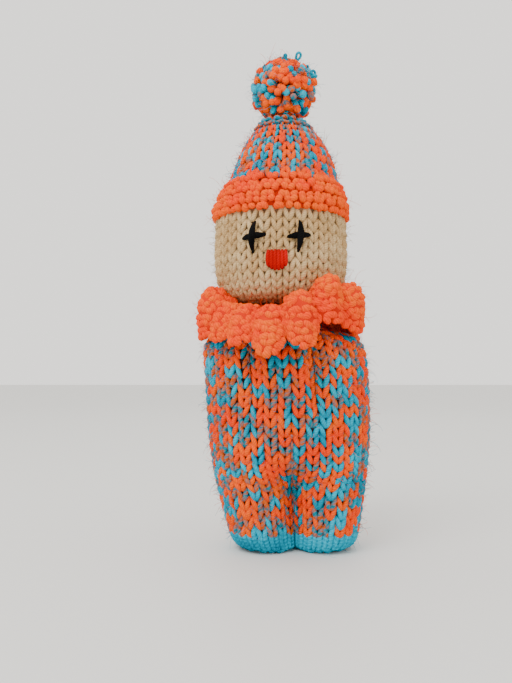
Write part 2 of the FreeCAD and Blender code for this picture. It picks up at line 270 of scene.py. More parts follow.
body_skin = Skin(("foot_band_knit", "body_knit"), SKIN_BOTTOM, BODY_TOP, FEET_X)
head_skin = Skin(("head_knit", "hat_brim_knit", "hat_crown_knit"), HEAD_BOTTOM, CROWN_TOP, AXIS_X)
head_skin.grid[..., 0] += np.interp(head_skin.heights, *HAT_LEAN)[:, None]


# ---- materials -----------------------------------------------------------------------------------

PLY_SLANT = 0.30            # turns that a ply makes round the yarn in a millimetre
YARN_SPECULAR = 0.06
PAINTED_GROOVE_SHADE = 0.80         # how dark the painted shade in the groove between two plies is
FIBRE_SCALE = 1800.0
FIBRE_RELIEF = 0.9          # height of the fibres' relief, as a share of the plies'
RELIEF_STRENGTH = 0.55
RELIEF_DEPTH = 0.00025


def srgb(r, g, b):
    """A colour given as it looks on a screen, in the linear values that a shader takes."""
    linear = [(c / 12.92) if c <= 0.04045 else ((c + 0.055) / 1.055) ** 2.4 for c in (r, g, b)]
    return (*linear, 1.0)


def yarn_material(name, colours, plies=4, blend_scale=90.0, roughness=0.92, colours_by_ply=False):
    """Matte plied yarn with slanting ridges, and painted shade darkening the grooves between the plies. Its
    two colours mix softly along it, or ply by ply.
    """
    material = bpy.data.materials.new(name)
    material.use_nodes = True
    tree = material.node_tree
    shader = tree.nodes["Principled BSDF"]
    shader.inputs["Roughness"].default_value = roughness
    shader.inputs["Specular IOR Level"].default_value = YARN_SPECULAR
    new = tree.nodes.new
    link = tree.links.new
    uv = new("ShaderNodeUVMap")
    uv.uv_map = "yarn"
    split = new("ShaderNodeSeparateXYZ")
    link(uv.outputs["UV"], split.inputs["Vector"])
    slant = new("ShaderNodeMath")
    slant.operation = "MULTIPLY_ADD"
    slant.inputs[1].default_value = PLY_SLANT
    link(split.outputs["Y"], slant.inputs[0])
    link(split.outputs["X"], slant.inputs[2])
    turn = new("ShaderNodeMath")
    turn.operation = "MULTIPLY"
    turn.inputs[1].default_value = 2 * math.pi * plies
    link(slant.outputs[0], turn.inputs[0])
    wave = new("ShaderNodeMath")
    wave.operation = "SINE"
    link(turn.outputs[0], wave.inputs[0])
    level = new("ShaderNodeMath")
    level.operation = "MULTIPLY_ADD"
    level.inputs[1].default_value = 0.5
    level.inputs[2].default_value = 0.5
    link(wave.outputs[0], level.inputs[0])

    place = new("ShaderNodeTexCoord")
    fibres = new("ShaderNodeTexNoise")
    fibres.inputs["Scale"].default_value = FIBRE_SCALE
    fibres.inputs["Detail"].default_value = 4.0
    link(place.outputs["Object"], fibres.inputs["Vector"])
    mottle = new("ShaderNodeTexNoise")
    mottle.inputs["Scale"].default_value = blend_scale
    mottle.inputs["Detail"].default_value = 3.0
    link(place.outputs["Object"], mottle.inputs["Vector"])
    ramp = new("ShaderNodeValToRGB")
    ramp.color_ramp.elements[0].position = 0.40
    ramp.color_ramp.elements[1].position = 0.60
    ramp.color_ramp.elements[0].color = srgb(*colours[0])
    ramp.color_ramp.elements[1].color = srgb(*colours[1])
    if colours_by_ply:
        link(ply_colour_share(tree, slant, mottle), ramp.inputs["Fac"])
    else:
        link(mottle.outputs["Fac"], ramp.inputs["Fac"])
    # painted shade: the base colour is multiplied down in the grooves between the plies
    shade = new("ShaderNodeMix")
    shade.data_type = "RGBA"
    shade.blend_type = "MULTIPLY"
    shade.inputs["Factor"].default_value = 1.0
    groove_shade_factor = new("ShaderNodeMapRange")
    groove_shade_factor.inputs["To Min"].default_value = PAINTED_GROOVE_SHADE
    groove_shade_factor.inputs["To Max"].default_value = 1.0
    link(level.outputs[0], groove_shade_factor.inputs["Value"])
    grey = new("ShaderNodeCombineColor")
    for channel in ("Red", "Green", "Blue"):
        link(groove_shade_factor.outputs["Result"], grey.inputs[channel])
    link(ramp.outputs["Color"], shade.inputs["A"])
    link(grey.outputs["Color"], shade.inputs["B"])
    link(shade.outputs["Result"], shader.inputs["Base Color"])
    relief = new("ShaderNodeMath")
    relief.operation = "MULTIPLY_ADD"
    relief.inputs[1].default_value = FIBRE_RELIEF
    link(fibres.outputs["Fac"], relief.inputs[0])
    link(level.outputs[0], relief.inputs[2])
    bump = new("ShaderNodeBump")
    bump.inputs["Strength"].default_value = RELIEF_STRENGTH
    bump.inputs["Distance"].default_value = RELIEF_DEPTH
    link(relief.outputs[0], bump.inputs["Height"])
    link(bump.outputs["Normal"], shader.inputs["Normal"])
    return material


def ply_colour_share(tree, slant, mottle):
    """A wave that gives half of the plies each colour, unevenly along the yarn."""
    turn = tree.nodes.new("ShaderNodeMath")
    turn.operation = "MULTIPLY"
    turn.inputs[1].default_value = 4 * math.pi
    tree.links.new(slant.outputs[0], turn.inputs[0])
    wave = tree.nodes.new("ShaderNodeMath")
    wave.operation = "SINE"
    tree.links.new(turn.outputs[0], wave.inputs[0])
    half = tree.nodes.new("ShaderNodeMath")
    half.operation = "MULTIPLY_ADD"
    half.inputs[1].default_value = 0.05
    tree.links.new(wave.outputs[0], half.inputs[0])
    tree.links.new(mottle.outputs["Fac"], half.inputs[2])
    return half.outputs[0]


orange = yarn_material("orange_yarn", [(1.0, 0.26, 0.0), (1.0, 0.38, 0.0)])
turquoise = yarn_material("turquoise_yarn", [(0.0, 0.55, 0.67), (0.0, 0.70, 0.82)])
marl = yarn_material("marled_yarn", [(0.06, 0.50, 0.58), (0.80, 0.36, 0.12)], blend_scale=420.0,
                     colours_by_ply=True)
beige = yarn_material("beige_yarn", [(0.76, 0.62, 0.43), (0.82, 0.70, 0.52)])
black = yarn_material("black_yarn", [(0.015, 0.015, 0.018), (0.05, 0.05, 0.055)])
red = yarn_material("red_yarn", [(0.70, 0.0, 0.02), (0.78, 0.0, 0.03)])
# The four lining materials are the yarn colours darkened, as painted shade that shows in the gaps between the
# stitches; the filling is the stuffing's own colour.
orange_lining_painted_shade = yarn_material("orange_lining_painted_shade", [(0.80, 0.14, 0.0), (0.88, 0.19, 0.0)])
turquoise_lining_painted_shade = yarn_material("turquoise_lining_painted_shade", [(0.0, 0.38, 0.48), (0.0, 0.44, 0.54)])
mottled_lining_painted_shade = yarn_material("mottled_lining_painted_shade", [(0.05, 0.18, 0.20), (0.32, 0.10, 0.03)],
                               blend_scale=300.0)
filling = yarn_material("filling", [(0.86, 0.84, 0.80), (0.93, 0.92, 0.89)], blend_scale=300.0)
# darkened beige: painted shade for the gaps between the head's stitches
beige_lining_painted_shade = yarn_material("beige_lining_painted_shade", [(0.52, 0.40, 0.28), (0.58, 0.46, 0.33)])
VARIEGATED = [orange, turquoise, marl]


# ---- knitting ------------------------------------------------------------------------------------

LEG_STEPS = np.linspace(0, 1, 8)
SPREAD = 0.06 + 0.39 * LEG_STEPS                # sideways place of a leg, in stitches from the wale's middle
RISE = -0.34 + 1.46 * LEG_STEPS                 # its height, in rows
SINK = np.interp(LEG_STEPS, [0, 0.2, 0.45, 0.75, 1], [0.75, 0.15, 0.0, 0.55, 1.5])  # depth in yarn radii
THICKNESS = np.interp(LEG_STEPS, [0, 0.2, 0.45, 0.8, 1], [0.45, 0.84, 1.0, 0.84, 0.45])
THINNEST_YARN = 0.5         # radius of the yarn where the fabric is drawn together
BUMP_LENGTH = 1.15          # half length of a purl bump, in millimetres
BUMP_PITCH = 2.85
GARTER_BUMP_R = 1.45
PURL_TILT = 0.5             # how far a bump's middle arches over, or under, its ends


def leg_paths(skin, columns, boundaries, yarn_r, rng):
    """The two legs of every stitch between the row boundaries.

    Points and normals are (rows, columns, side, steps, 3), and the yarn radius is given at each.
    """
    rows = len(boundaries) - 1
    row = np.arange(rows)[:, None, None, None]
    column = np.arange(columns)[None, :, None, None]
    side = np.array([-1, 1])[None, None, :, None]
    wander = rng.normal(0, 0.025, (rows, columns, 2, 1))
    lift = rng.normal(0, 0.04, (rows, columns, 1, 1))
    turn = (column + 0.5 + side * SPREAD + wander) / columns
    height = row + RISE + lift
    edges = np.arange(rows + 1)
    z = np.interp(height, edges, boundaries)
    below, above = boundaries[1] - boundaries[0], boundaries[-1] - boundaries[-2]
    z = z + np.minimum(height, 0) * below + np.maximum(height - rows, 0) * above
    points, normals = skin.at(turn, z)
    neighbour = skin.at(turn + 0.5 / columns, z)[0]
    width = np.linalg.norm(neighbour - points, axis=-1, keepdims=True)[..., 0] * 2
    uneven = 1 + rng.normal(0, 0.05, (rows, columns, 2, 1))
    radius = np.clip(width * 0.25, THINNEST_YARN, yarn_r) * THICKNESS * uneven
    points = points - normals * (radius + yarn_r * SINK)[..., None]
    return points, normals, radius


def stocking_stitch(name, skin, boundaries, colours, materials, body, slot, seed):
    """Knit stitches as pairs of slanting legs. colours is (rows, columns, 2) indices of materials."""
    rng = np.random.default_rng(SEED + seed)
    points, normals, radius = leg_paths(skin, STITCHES_ROUND, boundaries, YARN_R, rng)
    tubes = Tubes(8)
    steps = len(LEG_STEPS)
    tubes.add(points.reshape(-1, steps, 3), radius.reshape(-1, steps), normals.reshape(-1, steps, 3),
              np.asarray(colours).reshape(-1))
    return tubes.piece(name, materials, body, slot)


def colour_runs(rows, columns, shares, lengths, seed):
    """Random runs of one colour along each row of legs, as variegated yarn knits up."""
    rng = random.Random(SEED + seed)
    colours = np.zeros((rows, columns * 2), int)
    for row in range(rows):
        position = 0
        current = None
        while position < columns * 2:
            weights = [0 if c == current else s for c, s in enumerate(shares[row % len(shares)])]
            current = rng.choices((ORANGE, TURQUOISE, MARL), weights)[0]
            run = rng.randint(*lengths[current])
            colours[row, position:position + run] = current
            position += run
    return colours.reshape(rows, columns, 2)


def purl_bumps(tubes, frame_at, places, levels, tilt, radius, rng):
    """Short rounded bumps. frame_at gives points and outward normals at (place, level)."""
    steps = np.linspace(-1, 1, 5)
    count = len(places)
    slope = np.where(np.arange(count) % 2, 0.5, -0.5)[:, None] + rng.normal(0, 0.2, (count, 1))
    along = places[:, None] + BUMP_LENGTH * steps
    rise = levels[:, None] + tilt * (0.5 - steps**2) + slope * steps + rng.normal(0, 0.13, (count, 1))
    points, normals = frame_at(along, rise)
    taper = np.abs(steps) ** 2
    thickness = radius * (1.0 - 0.45 * taper) * (1 + rng.normal(0, 0.10, (count, 1)))
    lift = rng.normal(0, 0.20, (count, 1))
    points = points + normals * (lift - thickness - 0.50 * radius * taper)[..., None]
    tubes.add(points, thickness, normals, 0)


def staggered(count, row, rng):
    """Uneven places of the bumps in a row, each set between two of the row below."""
    return np.arange(count) + 0.5 * (row % 2) + rng.normal(0, 0.12, count)


def garter_ridges(name, skin, low, high, ridges, material, body, slot, proud, seed):
    """Garter stitch: each ridge is a row of arched bumps over a row of upturned bumps set between them."""
    rng = np.random.default_rng(SEED + seed)
    tubes = Tubes(8)
    pitch = (high - low) / (2 * ridges)
    for row in range(2 * ridges):
        level = low + (row + 0.5) * pitch
        outline = skin.at(np.linspace(0, 1, 137), level)[0]
        round_length = np.linalg.norm(np.diff(outline, axis=0), axis=1).sum()
        count = int(round_length / BUMP_PITCH)

        def frame_at(along, rise):
            points, normals = skin.at(along / round_length, rise)
            return points + normals * proud, normals

        places = staggered(count, row, rng) * round_length / count
        tilt = PURL_TILT if row % 2 else -PURL_TILT
        purl_bumps(tubes, frame_at, places, np.full(count, level), tilt, GARTER_BUMP_R, rng)
    return tubes.piece(name, [material], body, slot)


def lining(name, skin, low, high, depth, material, body, cap_low=False, cap_high=False):
    """The closed fabric under the yarn, so that no light shows between the stitches. Its material is a
    darkened yarn colour: painted shade in the gaps between the stitches.
    """
    heights = np.linspace(low, high, max(3, int((high - low) / 1.5)))
    turns = np.arange(136) / 136
    points = skin.at(turns[None, :], heights[:, None], depth)[0]
    k, n = points.shape[:2]
    level = (np.arange(k - 1) * n)[:, None]
    side = np.arange(n)[None, :]
    following = (side + 1) % n
    corners = [level + side, level + following, level + n + following, level + n + side]
    faces = list(np.stack(corners, -1).reshape(-1, 4))
    if cap_low:
        faces.append(np.arange(n)[::-1])
    if cap_high:
        faces.append(np.arange((k - 1) * n, k * n))
    uvs = np.zeros((sum(len(f) for f in faces), 2))
    return mesh_object(name, points.reshape(-1, 3), faces, [material], body, uvs)


def one_colour(rows):
    return np.zeros((rows, STITCHES_ROUND, 2), int)


def knit_body():
    foot_rows = body_skin.rows_between(FOOT_STITCHES_BOTTOM, FOOT_BAND_TOP, FOOT_ROWS)
    foot = stocking_stitch("foot_band_stitches", body_skin, foot_rows, one_colour(FOOT_ROWS), [turquoise],
                           "torso", "turquoise_knit", seed=1)
    rows = body_skin.rows_between(FOOT_BAND_TOP, BODY_TOP - 1.0, BODY_ROWS)
    colours = colour_runs(BODY_ROWS, STITCHES_ROUND, BODY_SHARES, BODY_RUNS, 2)
    half = BODY_ROWS // 2
    lower = stocking_stitch("body_stitches_lower", body_skin, rows[:half + 1], colours[:half], VARIEGATED,
                            "torso", "variegated_knit", seed=2)
    upper = stocking_stitch("body_stitches_upper", body_skin, rows[half:], colours[half:], VARIEGATED,
                            "torso", "variegated_knit", seed=3)
    lining("foot_band_lining", body_skin, 0.4, FOOT_BAND_TOP + 1, LINING_DEPTH, turquoise_lining_painted_shade, "torso",
           cap_low=True)
    body_lining = lining("body_lining", body_skin, FOOT_BAND_TOP, BODY_TOP - 0.4, LINING_DEPTH,
                         mottled_lining_painted_shade, "torso", cap_high=True)
    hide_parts("foot_band_knit")
    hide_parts("body_knit")
    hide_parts("body_stuffing")
    knit_sole()


def knit_head():
    rows = head_skin.rows_between(HEAD_BOTTOM + 0.6, BRIM_BOTTOM + 0.4, HEAD_ROWS)
    head = stocking_stitch("head_stitches", head_skin, rows, one_colour(HEAD_ROWS), [beige], "head",
                           "beige_knit", seed=5)
    head_lining = lining("head_lining", head_skin, HEAD_BOTTOM, BRIM_BOTTOM, LINING_DEPTH, beige_lining_painted_shade,
                         "head", cap_low=True)
    brim = garter_ridges("brim_stitches", head_skin, BRIM_BOTTOM, BRIM_TOP, BRIM_RIDGES, orange, "head",
                         "orange_knit", proud=BRIM_PROUD, seed=6)
    brim_lining = lining("brim_lining", head_skin, BRIM_BOTTOM, BRIM_TOP, LINING_DEPTH, orange_lining_painted_shade,
                         "head")
    crown_rows = head_skin.rows_between(BRIM_TOP, CROWN_TOP - 1.5, CROWN_ROWS)
    colours = colour_runs(CROWN_ROWS, STITCHES_ROUND, CROWN_SHARES, CROWN_RUNS, 7)
    crown = stocking_stitch("crown_stitches", head_skin, crown_rows, colours, VARIEGATED, "head",
                            "variegated_knit", seed=7)
    crown_lining = lining("crown_lining", head_skin, BRIM_TOP, CROWN_TOP, LINING_DEPTH, mottled_lining_painted_shade,
                          "head", cap_high=True)
    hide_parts("head_knit")
    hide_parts("head_stuffing")
    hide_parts("hat_brim_knit")
    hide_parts("brim_stuffing")
    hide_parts("hat_crown_knit")
    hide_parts("crown_stuffing")


# ---- embroidery ----------------------------------------------------------------------------------

EYES = (("right", -12.3), ("left", 3.7))
EYE_Z = 114.0
EYE_HALF_HEIGHT = 5.9
EYE_HALF_WIDTH = 4.7
EYE_YARN_R = 1.25
MOUTH_X = -4.2
MOUTH_Z = 105.7
MOUTH_STRANDS = 6
MOUTH_PITCH = 1.22
MOUTH_YARN_R = 0.76


def front_turn(skin, x, z):
    """The turn round a skin at which its front is at x."""
    turns = np.linspace(0.3, 0.7, 401)
    xs = skin.at(turns, np.full(401, z))[0][:, 0]
    return float(np.interp(x, xs, turns))


def on_the_face(xs, zs):
    """Points and outward normals on the front of the head."""
    placed = [head_skin.at(front_turn(head_skin, x, z), z) for x, z in zip(xs, zs)]
    return np.array([point for point, _ in placed]), np.array([normal for _, normal in placed])


def embroider():
    steps = np.linspace(-1, 1, 13)
    for eye, x in EYES:
        for arm in ("upright", "crossbar"):
            if arm == "upright":
                xs, zs, lift = x + 0.35 * steps, EYE_Z + EYE_HALF_HEIGHT * steps, 1.9
            else:
                xs, zs, lift = x + EYE_HALF_WIDTH * steps, EYE_Z + 0.2 + 0.5 * steps, 0.9
            path, ups = on_the_face(xs, zs)
            rise = lift * (1 - np.abs(steps) ** 2.5) - 1.0 * np.abs(steps) ** 2.5
            path = path + ups * rise[:, None]
            radius = EYE_YARN_R * (1 - 0.75 * np.abs(steps) ** 1.8)
            tubes = Tubes(12)
            tubes.add(path[None], radius[None], ups[None], 0, flatten=0.8)
            piece = tubes.piece(f"{eye}_eye_{arm}_yarn", [black], "head", "black_yarn")
            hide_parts(f"{eye}_eye_{arm}")
    tubes = Tubes(10)
    steps = np.linspace(-1, 1, 11)
    for i in range(MOUTH_STRANDS):
        offset = i - (MOUTH_STRANDS - 1) / 2
        xs = np.full(11, MOUTH_X + offset * MOUTH_PITCH)
        short = 2.0 * (offset / (MOUTH_STRANDS / 2)) ** 2
        zs = MOUTH_Z + np.where(steps < 0, (3.4 - short) * steps, 3.2 * steps)
        path, ups = on_the_face(xs, zs)
        path = path + ups * (0.7 * (1 - np.abs(steps) ** 4) - 0.8 * np.abs(steps) ** 4)[:, None]
        tubes.add(path[None], (MOUTH_YARN_R * (1 - 0.2 * np.abs(steps) ** 4))[None], ups[None], 0)
    mouth = tubes.piece("mouth_yarn", [red], "head", "red_yarn")
    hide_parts("mouth_stitches")


# ---- collar --------------------------------------------------------------------------------------

# The frill's lobes. Each row is the angle in degrees at which a lobe starts (270 is the front), the radius
# and height of the valley before it, and the lobe's own radius, hem height and arch height.
FRILL_LOBES = [
    (14, 28.0, 82.0, 33.5, 77.0, 104.0),
    (38, 28.0, 82.0, 33.5, 76.5, 104.0),
    (62, 28.0, 82.0, 33.5, 76.0, 104.0),
    (86, 28.0, 82.0, 33.5, 76.0, 104.0),
    (110, 28.0, 82.0, 33.5, 76.5, 104.0),
    (134, 28.0, 83.0, 32.0, 78.0, 103.0),
    (158, 28.0, 84.0, 31.0, 82.0, 111.0),
    (182, 28.0, 85.0, 31.0, 79.0, 111.0),
    (215, 28.0, 82.0, 33.0, 77.5, 98.0),
    (232, 28.5, 81.0, 33.5, 76.0, 97.0),
    (249, 28.0, 80.0, 34.5, 72.0, 97.0),
    (271, 28.0, 81.0, 34.0, 75.0, 106.0),
    (293, 28.0, 84.0, 31.5, 84.0, 115.0),
    (315, 28.0, 85.0, 31.5, 81.0, 113.0),
    (347, 28.0, 85.0, 30.5, 84.0, 112.0),
]
VALLEY_ARCH = 91.0
LOBE_ROUNDNESS = 0.70
COLLAR_FIRST_ROW = 0.26     # share of the way out at which the stitches begin to show
COLLAR_NECK = (12.0, 85.5)  # radius and height of the gathered edge
COLLAR_ROW_PITCH = 2.25
COLLAR_HALF_THICKNESS = 1.35
COLLAR_CLOTH = 0.55         # half thickness of the cloth between the two faces' stitches
COLLAR_BUMP_R = 1.34


def edge_table():
    """Radius, hem height and arch height of the frill at every degree."""
    degrees = np.arange(361) % 360
    starts = [row[0] for row in FRILL_LOBES]
    table = np.zeros((3, 361))
    for i, degree in enumerate(degrees):
        lobe = max((k for k, start in enumerate(starts) if start <= degree), default=len(starts) - 1)
        following = (lobe + 1) % len(starts)
        width = (starts[following] - starts[lobe]) % 360
        share = ((degree - starts[lobe]) % 360) / width
        bulge = (1 - (2 * share - 1) ** 2) ** LOBE_ROUNDNESS
        blend = share * share * (3 - 2 * share)
        valley_r = FRILL_LOBES[lobe][1] * (1 - blend) + FRILL_LOBES[following][1] * blend
        valley_z = FRILL_LOBES[lobe][2] * (1 - blend) + FRILL_LOBES[following][2] * blend
        valley = np.array([valley_r, valley_z, VALLEY_ARCH])
        table[:, i] = valley + (np.array(FRILL_LOBES[lobe][3:]) - valley) * bulge
    soft = np.array([1.0, 2.0, 3.0, 2.0, 1.0]) / 9
    for row in table:
        row[:] = np.convolve(np.concatenate([row[-3:-1], row, row[1:3]]), soft, "valid")
    return table


EDGE = edge_table()


def collar_point(turn, share):
    """The collar's middle surface: turn round the neck from the back, share out from the gathered edge."""
    angle = turn * 360.0 + 90.0
    radius, height, arch = (np.interp(angle % 360, np.arange(361), row) for row in EDGE)
    a, b, c = (1 - share) ** 2, 2 * share * (1 - share), share**2
    belly = radius * (0.96 + 0.011 * np.maximum(arch - 96, 0))
    r = a * COLLAR_NECK[0] + b * belly + c * radius
    z = a * COLLAR_NECK[1] + b * arch + c * height
    bend = np.radians(angle)
    return np.stack([AXIS_X + r * np.cos(bend), r * np.sin(bend), z], -1)


def collar_frame(turn, share):
    around = collar_point(turn + 0.004, share) - collar_point(turn - 0.004, share)
    out = collar_point(turn, share + 0.02) - collar_point(turn, share - 0.02)
    return collar_point(turn, share), unit(np.cross(out, around))


def make_collar():
    rng = np.random.default_rng(SEED + 20)
    turns = np.linspace(0, 1, 1441)
    shares = np.linspace(0, 1, 101)
    outward = collar_point(np.linspace(0, 1, 60)[:, None], shares[None, :])
    steps = np.linalg.norm(np.diff(outward, axis=1), axis=2)
    longest = steps[steps.sum(axis=1).argmax()]
    reach = np.concatenate([[0], np.cumsum(longest)])
    first = np.interp(COLLAR_FIRST_ROW, shares, reach)
    rows = int((reach[-1] - first) / COLLAR_ROW_PITCH)
    tubes = Tubes(7)
    for row in range(rows + 1):
        level = first + (reach[-1] - first) * row / rows
        line = collar_point(turns, np.full(turns.shape, np.interp(level, reach, shares)))
        arc = np.concatenate([[0], np.cumsum(np.linalg.norm(np.diff(line, axis=0), axis=1))])
        count = int(arc[-1] / BUMP_PITCH)
        for face in (1, -1):

            def frame_at(along, rise):
                share = np.interp(rise, reach, shares)
                points, normals = collar_frame(np.interp(along % arc[-1], arc, turns), share)
                return points + face * COLLAR_HALF_THICKNESS * normals, face * normals

            places = staggered(count, row, rng) * arc[-1] / count
            tilt = PURL_TILT if row % 2 else -PURL_TILT
            purl_bumps(tubes, frame_at, places, np.full(count, level), tilt, COLLAR_BUMP_R, rng)
    collar = tubes.piece("collar_stitches", [orange], "torso", "orange_knit")
    cloth = collar_lining()
    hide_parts("collar_frill", "collar_gathering_thread")


def collar_lining():
    """The cloth between the frill's two faces, in darkened orange: painted shade in the gaps between the
    bumps.
    """
    turns = np.arange(240) / 240
    shares = np.linspace(0.05, 0.99, 14)
    share_grid, turn_grid = np.meshgrid(shares, turns, indexing="ij")
    middle, normals = collar_frame(turn_grid, share_grid)
    sheets = [middle + normals * COLLAR_CLOTH, (middle - normals * COLLAR_CLOTH)[::-1]]
    points = np.concatenate(sheets)
    k, n = points.shape[:2]
    level = (np.arange(k) * n)[:, None]
    above = ((np.arange(k) + 1) % k * n)[:, None]
    side = np.arange(n)[None, :]
    following = (side + 1) % n
    corners = [level + side, above + side, above + following, level + following]
    faces = list(np.stack(corners, -1).reshape(-1, 4))
    uvs = np.zeros((4 * len(faces), 2))
    return mesh_object("collar_lining", points.reshape(-1, 3), faces, [orange_lining_painted_shade], "torso",
                       uvs)


# ---- pompom --------------------------------------------------------------------------------------

POMPOM_CENTRE = np.array([AXIS_X + 1.3, 0.0, 175.0])
POMPOM_REACH = 12.2
POMPOM_STRANDS = 330
POMPOM_LOWEST = 165.2
# Elevation in degrees, width and height of each loop of yarn that has worked loose.
LOOSE_LOOPS = ((66, 1.5, 3.0), (47, 0.9, 1.6), (33, 1.2, 2.2), (20, 0.8, 1.5), (88, 0.8, 1.2))


def make_pompom():
    rng = np.random.default_rng(SEED + 30)
    golden = math.pi * (3 - math.sqrt(5))
    index = np.arange(POMPOM_STRANDS)
    height = 1 - 2 * (index + 0.5) / POMPOM_STRANDS
    radius = np.sqrt(1 - height**2)
    angle = golden * index
    directions = np.stack([radius * np.cos(angle), radius * np.sin(angle), height], 1)
    directions = unit(directions + rng.normal(0, 0.045, directions.shape))
    reach = POMPOM_REACH - 0.2 + rng.normal(0, 0.50, POMPOM_STRANDS)
    bend = rng.normal(0, 0.6, directions.shape)
    steps = np.array([0, 0.35, 0.6, 0.8, 0.92, 0.98, 1.0])
    along = 5.0 + (reach[:, None] - 5.0) * steps
    paths = POMPOM_CENTRE + directions[:, None, :] * along[..., None]
    paths = paths + bend[:, None, :] * (steps**2)[None, :, None]
    paths[..., 2] = np.maximum(paths[..., 2], POMPOM_LOWEST)
    swelling = np.array([0.7, 1.0, 1.30, 1.46, 1.42, 1.18, 0.55])
    thickness = swelling * rng.uniform(0.85, 1.1, (POMPOM_STRANDS, 1))
    ups = np.cross(directions, [0.3, 0.2, 0.9])[:, None, :]
    colours = rng.choice([ORANGE, TURQUOISE, MARL], POMPOM_STRANDS, p=[0.52, 0.33, 0.15])
    tubes = Tubes(8)
    tubes.add(paths, thickness, ups, colours)
    add_loose_ends(tubes, rng)
    pompom = tubes.piece("pompom_yarn", VARIEGATED, "pompom", "pompom_yarn")
    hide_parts("pompom_strands")


def add_loose_ends(tubes, rng):
    """A few thin turquoise loops that have worked loose on the upper left side of the pompom."""
    steps = np.linspace(0, 1, 15)
    for elevation, width, height in LOOSE_LOOPS:
        lift = math.radians(elevation)
        out = unit(np.array([math.cos(lift), rng.uniform(-0.5, 0.1), math.sin(lift)]))
        side = unit(np.cross(out, rng.normal(0, 1, 3)))
        base = POMPOM_CENTRE + out * (POMPOM_REACH - 1.2)
        path = base + np.outer(np.sin(math.pi * steps) * (height + 1.2), out)
        path = path + np.outer(width * np.sin(2 * math.pi * steps) + 1.5 * (steps - 0.5), side)
        tubes.add(path[None], np.full(15, 0.5), np.cross(out, side), TURQUOISE)


# ---- seams, ties and fillings --------------------------------------------------------------------

def skin_yarn(name, skin, turns, heights, rise, radius, material, body, slot):
    """One strand of yarn that follows the skin through the given turns and heights, rise proud of it."""
    points, normals = skin.at(np.asarray(turns), np.asarray(heights))
    points = points + normals * np.broadcast_to(rise, np.shape(heights))[:, None]
    tubes = Tubes(8)
    tubes.add(points[None], np.full(len(points), radius), normals[None], 0)
    return tubes.piece(name, [material], body, slot)


def zigzag_seam(name, skin, low, high, material, body, slot):
    """The yarn that laces the tube shut up the middle of the back."""
    count = int((high - low) / 1.7) * 2
    heights = np.linspace(low, high, count + 1)
    turns = np.where(np.arange(count + 1) % 2, 0.35, -0.35) / STITCHES_ROUND
    rise = np.full(count + 1, -0.35)
    return skin_yarn(name, skin, turns, heights, rise, 0.62, material, body, slot)


def running_stitches(name, turn, low, high):
    """A thread sewn in and out of the body along a crease."""
    heights = np.linspace(low, high, int((high - low) / 0.8))
    rise = -1.1 + 0.9 * np.sin(heights * 1.6)
    return skin_yarn(name, body_skin, np.full(len(heights), turn), heights, rise, 0.45, marl, "torso",
                     "variegated_knit")


def sew_seams():
    right_arm, left_arm = (front_turn(body_skin, ARM_LINES[side], 66) for side in ("right", "left"))
    pieces = {
        "body_back_seam": zigzag_seam("body_back_seam_yarn", body_skin, FOOT_BAND_TOP + 1, 76, orange,
                                      "torso", "variegated_knit"),
        "head_back_seam": zigzag_seam("head_back_seam_yarn", head_skin, 95, BRIM_BOTTOM, beige,
                                      "head", "beige_knit"),
        "hat_back_seam": zigzag_seam("hat_back_seam_yarn", head_skin, BRIM_TOP, 157, orange, "head",
                                     "variegated_knit"),
        "leg_seam_front_thread": running_stitches("leg_seam_front_yarn", 0.5, 6, 44),
        "leg_seam_back_thread": running_stitches("leg_seam_back_yarn", 0.0, 6, 44),
        "right_arm_thread": running_stitches("right_arm_yarn", right_arm, 55, 75),
        "left_arm_thread": running_stitches("left_arm_yarn", left_arm, 58, 77),
    }
    for node, piece in pieces.items():
        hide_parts(node)
    gathered_rim()
    turns = np.linspace(0, 1, 69)
    heights = 159.6 + 0.5 * np.sin(turns * 34 * math.pi)
    gather = skin_yarn("crown_gather_yarn", head_skin, turns, heights, np.full(69, 0.2), 0.6, marl, "head",
                       "variegated_knit")
    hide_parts("crown_gathering_thread")


# Number of loops, radius, height and size of each round of the gathered rim.
GATHERED_LOOPS = ((17, 7.7, 161.3, 1.4), (13, 5.4, 162.5, 1.3), (8, 3.0, 163.3, 1.2))


def gathered_rim():
    """The last row of loops, drawn together under the pompom."""
    rng = np.random.default_rng(SEED + 45)
    tubes = Tubes(8)
    steps = np.linspace(-1, 1, 7)
    for loops, r, z, size in GATHERED_LOOPS:
        angles = 2 * math.pi * (np.arange(loops) + rng.normal(0, 0.08, loops))[:, None] / loops
        spread = angles + 0.40 * steps * 2 * math.pi / loops
        reach = r + 1.3 * (1 - steps**2) + rng.normal(0, 0.15, (loops, 1))
        rise = z + 0.9 * (1 - steps**2) - 0.5 + rng.normal(0, 0.12, (loops, 1))
        paths = np.stack([AXIS_X + 0.8 + reach * np.cos(spread), reach * np.sin(spread), rise], -1)
        colours = rng.choice([ORANGE, TURQUOISE, MARL], loops, p=[0.35, 0.30, 0.35])
        tubes.add(paths, 0.62 * size * (1 - 0.35 * steps**2), np.array([0, 0, 1.0]), colours)
    tubes.piece("crown_rim_loops", VARIEGATED, "head", "variegated_knit")


def knit_sole():
    """Purl bumps over the flat underside of the feet."""
    outline = body_skin.at(np.arange(204) / 204, 0.8)[0][:, :2]
    tubes = Tubes(6)
    rng = np.random.default_rng(SEED + 40)
    steps = np.linspace(-1, 1, 5)
    for row, y in enumerate(np.arange(-14, 14.1, 2.2)):
        for x in np.arange(-26, 32, 2.9) + (1.45 if row % 2 else 0.0):
            if not inside(outline * [0.93, 0.90], x, y):
                continue
            path = np.stack([x + 1.5 * steps, y + 0.4 * (0.5 - steps**2) + rng.normal(0, 0.1),
                             1.0 + 0.5 * steps**2], 1)
            tubes.add(path[None], (0.95 * (1 - 0.35 * steps**2))[None], np.array([0, 0, -1.0]), 0)
    tubes.piece("sole_stitches", [turquoise], "torso", "turquoise_knit")


